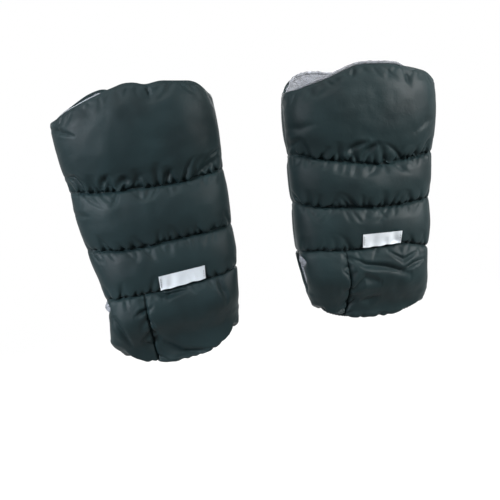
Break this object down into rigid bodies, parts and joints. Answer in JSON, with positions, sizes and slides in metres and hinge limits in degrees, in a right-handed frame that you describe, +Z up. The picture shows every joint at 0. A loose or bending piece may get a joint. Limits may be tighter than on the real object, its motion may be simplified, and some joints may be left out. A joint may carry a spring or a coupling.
{
  "type": "stroller hand muff",
  "caption": "Quilted hand muffs for a stroller handlebar: fleece-lined sleeves open at the wrist, with side slots for the bar and a hood whose back flap swings open.",
  "frame": {"origin": "on the handlebar's axis, midway between the two muffs", "axes": "+X along the bar towards the right muff as seen from the front, +Y towards the backs of the muffs, +Z up the sleeves towards the wrist openings"},
  "size_m": [0.5187, 0.1099, 0.3684],
  "materials": {
    "nylon_shell": "satin",
    "polyester_batting": "matte",
    "fleece_lining": "matte",
    "closure_tape": "matte",
    "covered_elastic": "matte",
    "nickel_snap": "satin",
    "label_satin": "satin"
  },
  "bodies": {
    "left_muff": {"left_front_shell": "nylon_shell", "left_front_batting": "polyester_batting", "left_back_shell": "nylon_shell", "left_back_batting": "polyester_batting", "left_sleeve_lining": "fleece_lining", "left_cuff": "fleece_lining", "left_hood_side_panel": "nylon_shell", "left_hood_front_panel": "nylon_shell", "left_hood_batting": "polyester_batting", "left_hood_lining": "fleece_lining", "left_hood_hem": "nylon_shell", "left_hood_elastic": "covered_elastic", "left_loop_tape": "closure_tape", "left_snap_socket_left": "nickel_snap", "left_snap_socket_right": "nickel_snap", "left_label": "label_satin"},
    "left_flap": {"left_flap_shell": "nylon_shell", "left_flap_batting": "polyester_batting", "left_flap_lining": "fleece_lining", "left_flap_hem": "nylon_shell", "left_flap_elastic": "covered_elastic", "left_hook_tape": "closure_tape", "left_snap_stud_left": "nickel_snap", "left_snap_stud_right": "nickel_snap"},
    "right_muff": {"right_front_shell": "nylon_shell", "right_front_batting": "polyester_batting", "right_back_shell": "nylon_shell", "right_back_batting": "polyester_batting", "right_sleeve_lining": "fleece_lining", "right_cuff": "fleece_lining", "right_hood_side_panel": "nylon_shell", "right_hood_front_panel": "nylon_shell", "right_hood_batting": "polyester_batting", "right_hood_lining": "fleece_lining", "right_hood_hem": "nylon_shell", "right_hood_elastic": "covered_elastic", "right_loop_tape": "closure_tape", "right_snap_socket_left": "nickel_snap", "right_snap_socket_right": "nickel_snap", "right_label": "label_satin"},
    "right_flap": {"right_flap_shell": "nylon_shell", "right_flap_batting": "polyester_batting", "right_flap_lining": "fleece_lining", "right_flap_hem": "nylon_shell", "right_flap_elastic": "covered_elastic", "right_hook_tape": "closure_tape", "right_snap_stud_left": "nickel_snap", "right_snap_stud_right": "nickel_snap"}
  },
  "joints": [
    {"name": "left_flap_hinge", "type": "hinge", "parent": "left_muff", "child": "left_flap", "pos_m": [-0.13378, 0.0372, 0.02649], "axis": [0.9945, 0, 0.1045], "range_deg": [0, 95]},
    {"name": "right_muff_slide", "type": "slide", "parent": "left_muff", "child": "right_muff", "axis": [1, 0, 0], "range_m": [-0.03, 0.04]},
    {"name": "right_flap_hinge", "type": "hinge", "parent": "right_muff", "child": "right_flap", "pos_m": [0.13378, 0.0372, 0.02649], "axis": [0.9945, 0, -0.1045], "range_deg": [0, 95]}
  ]
}
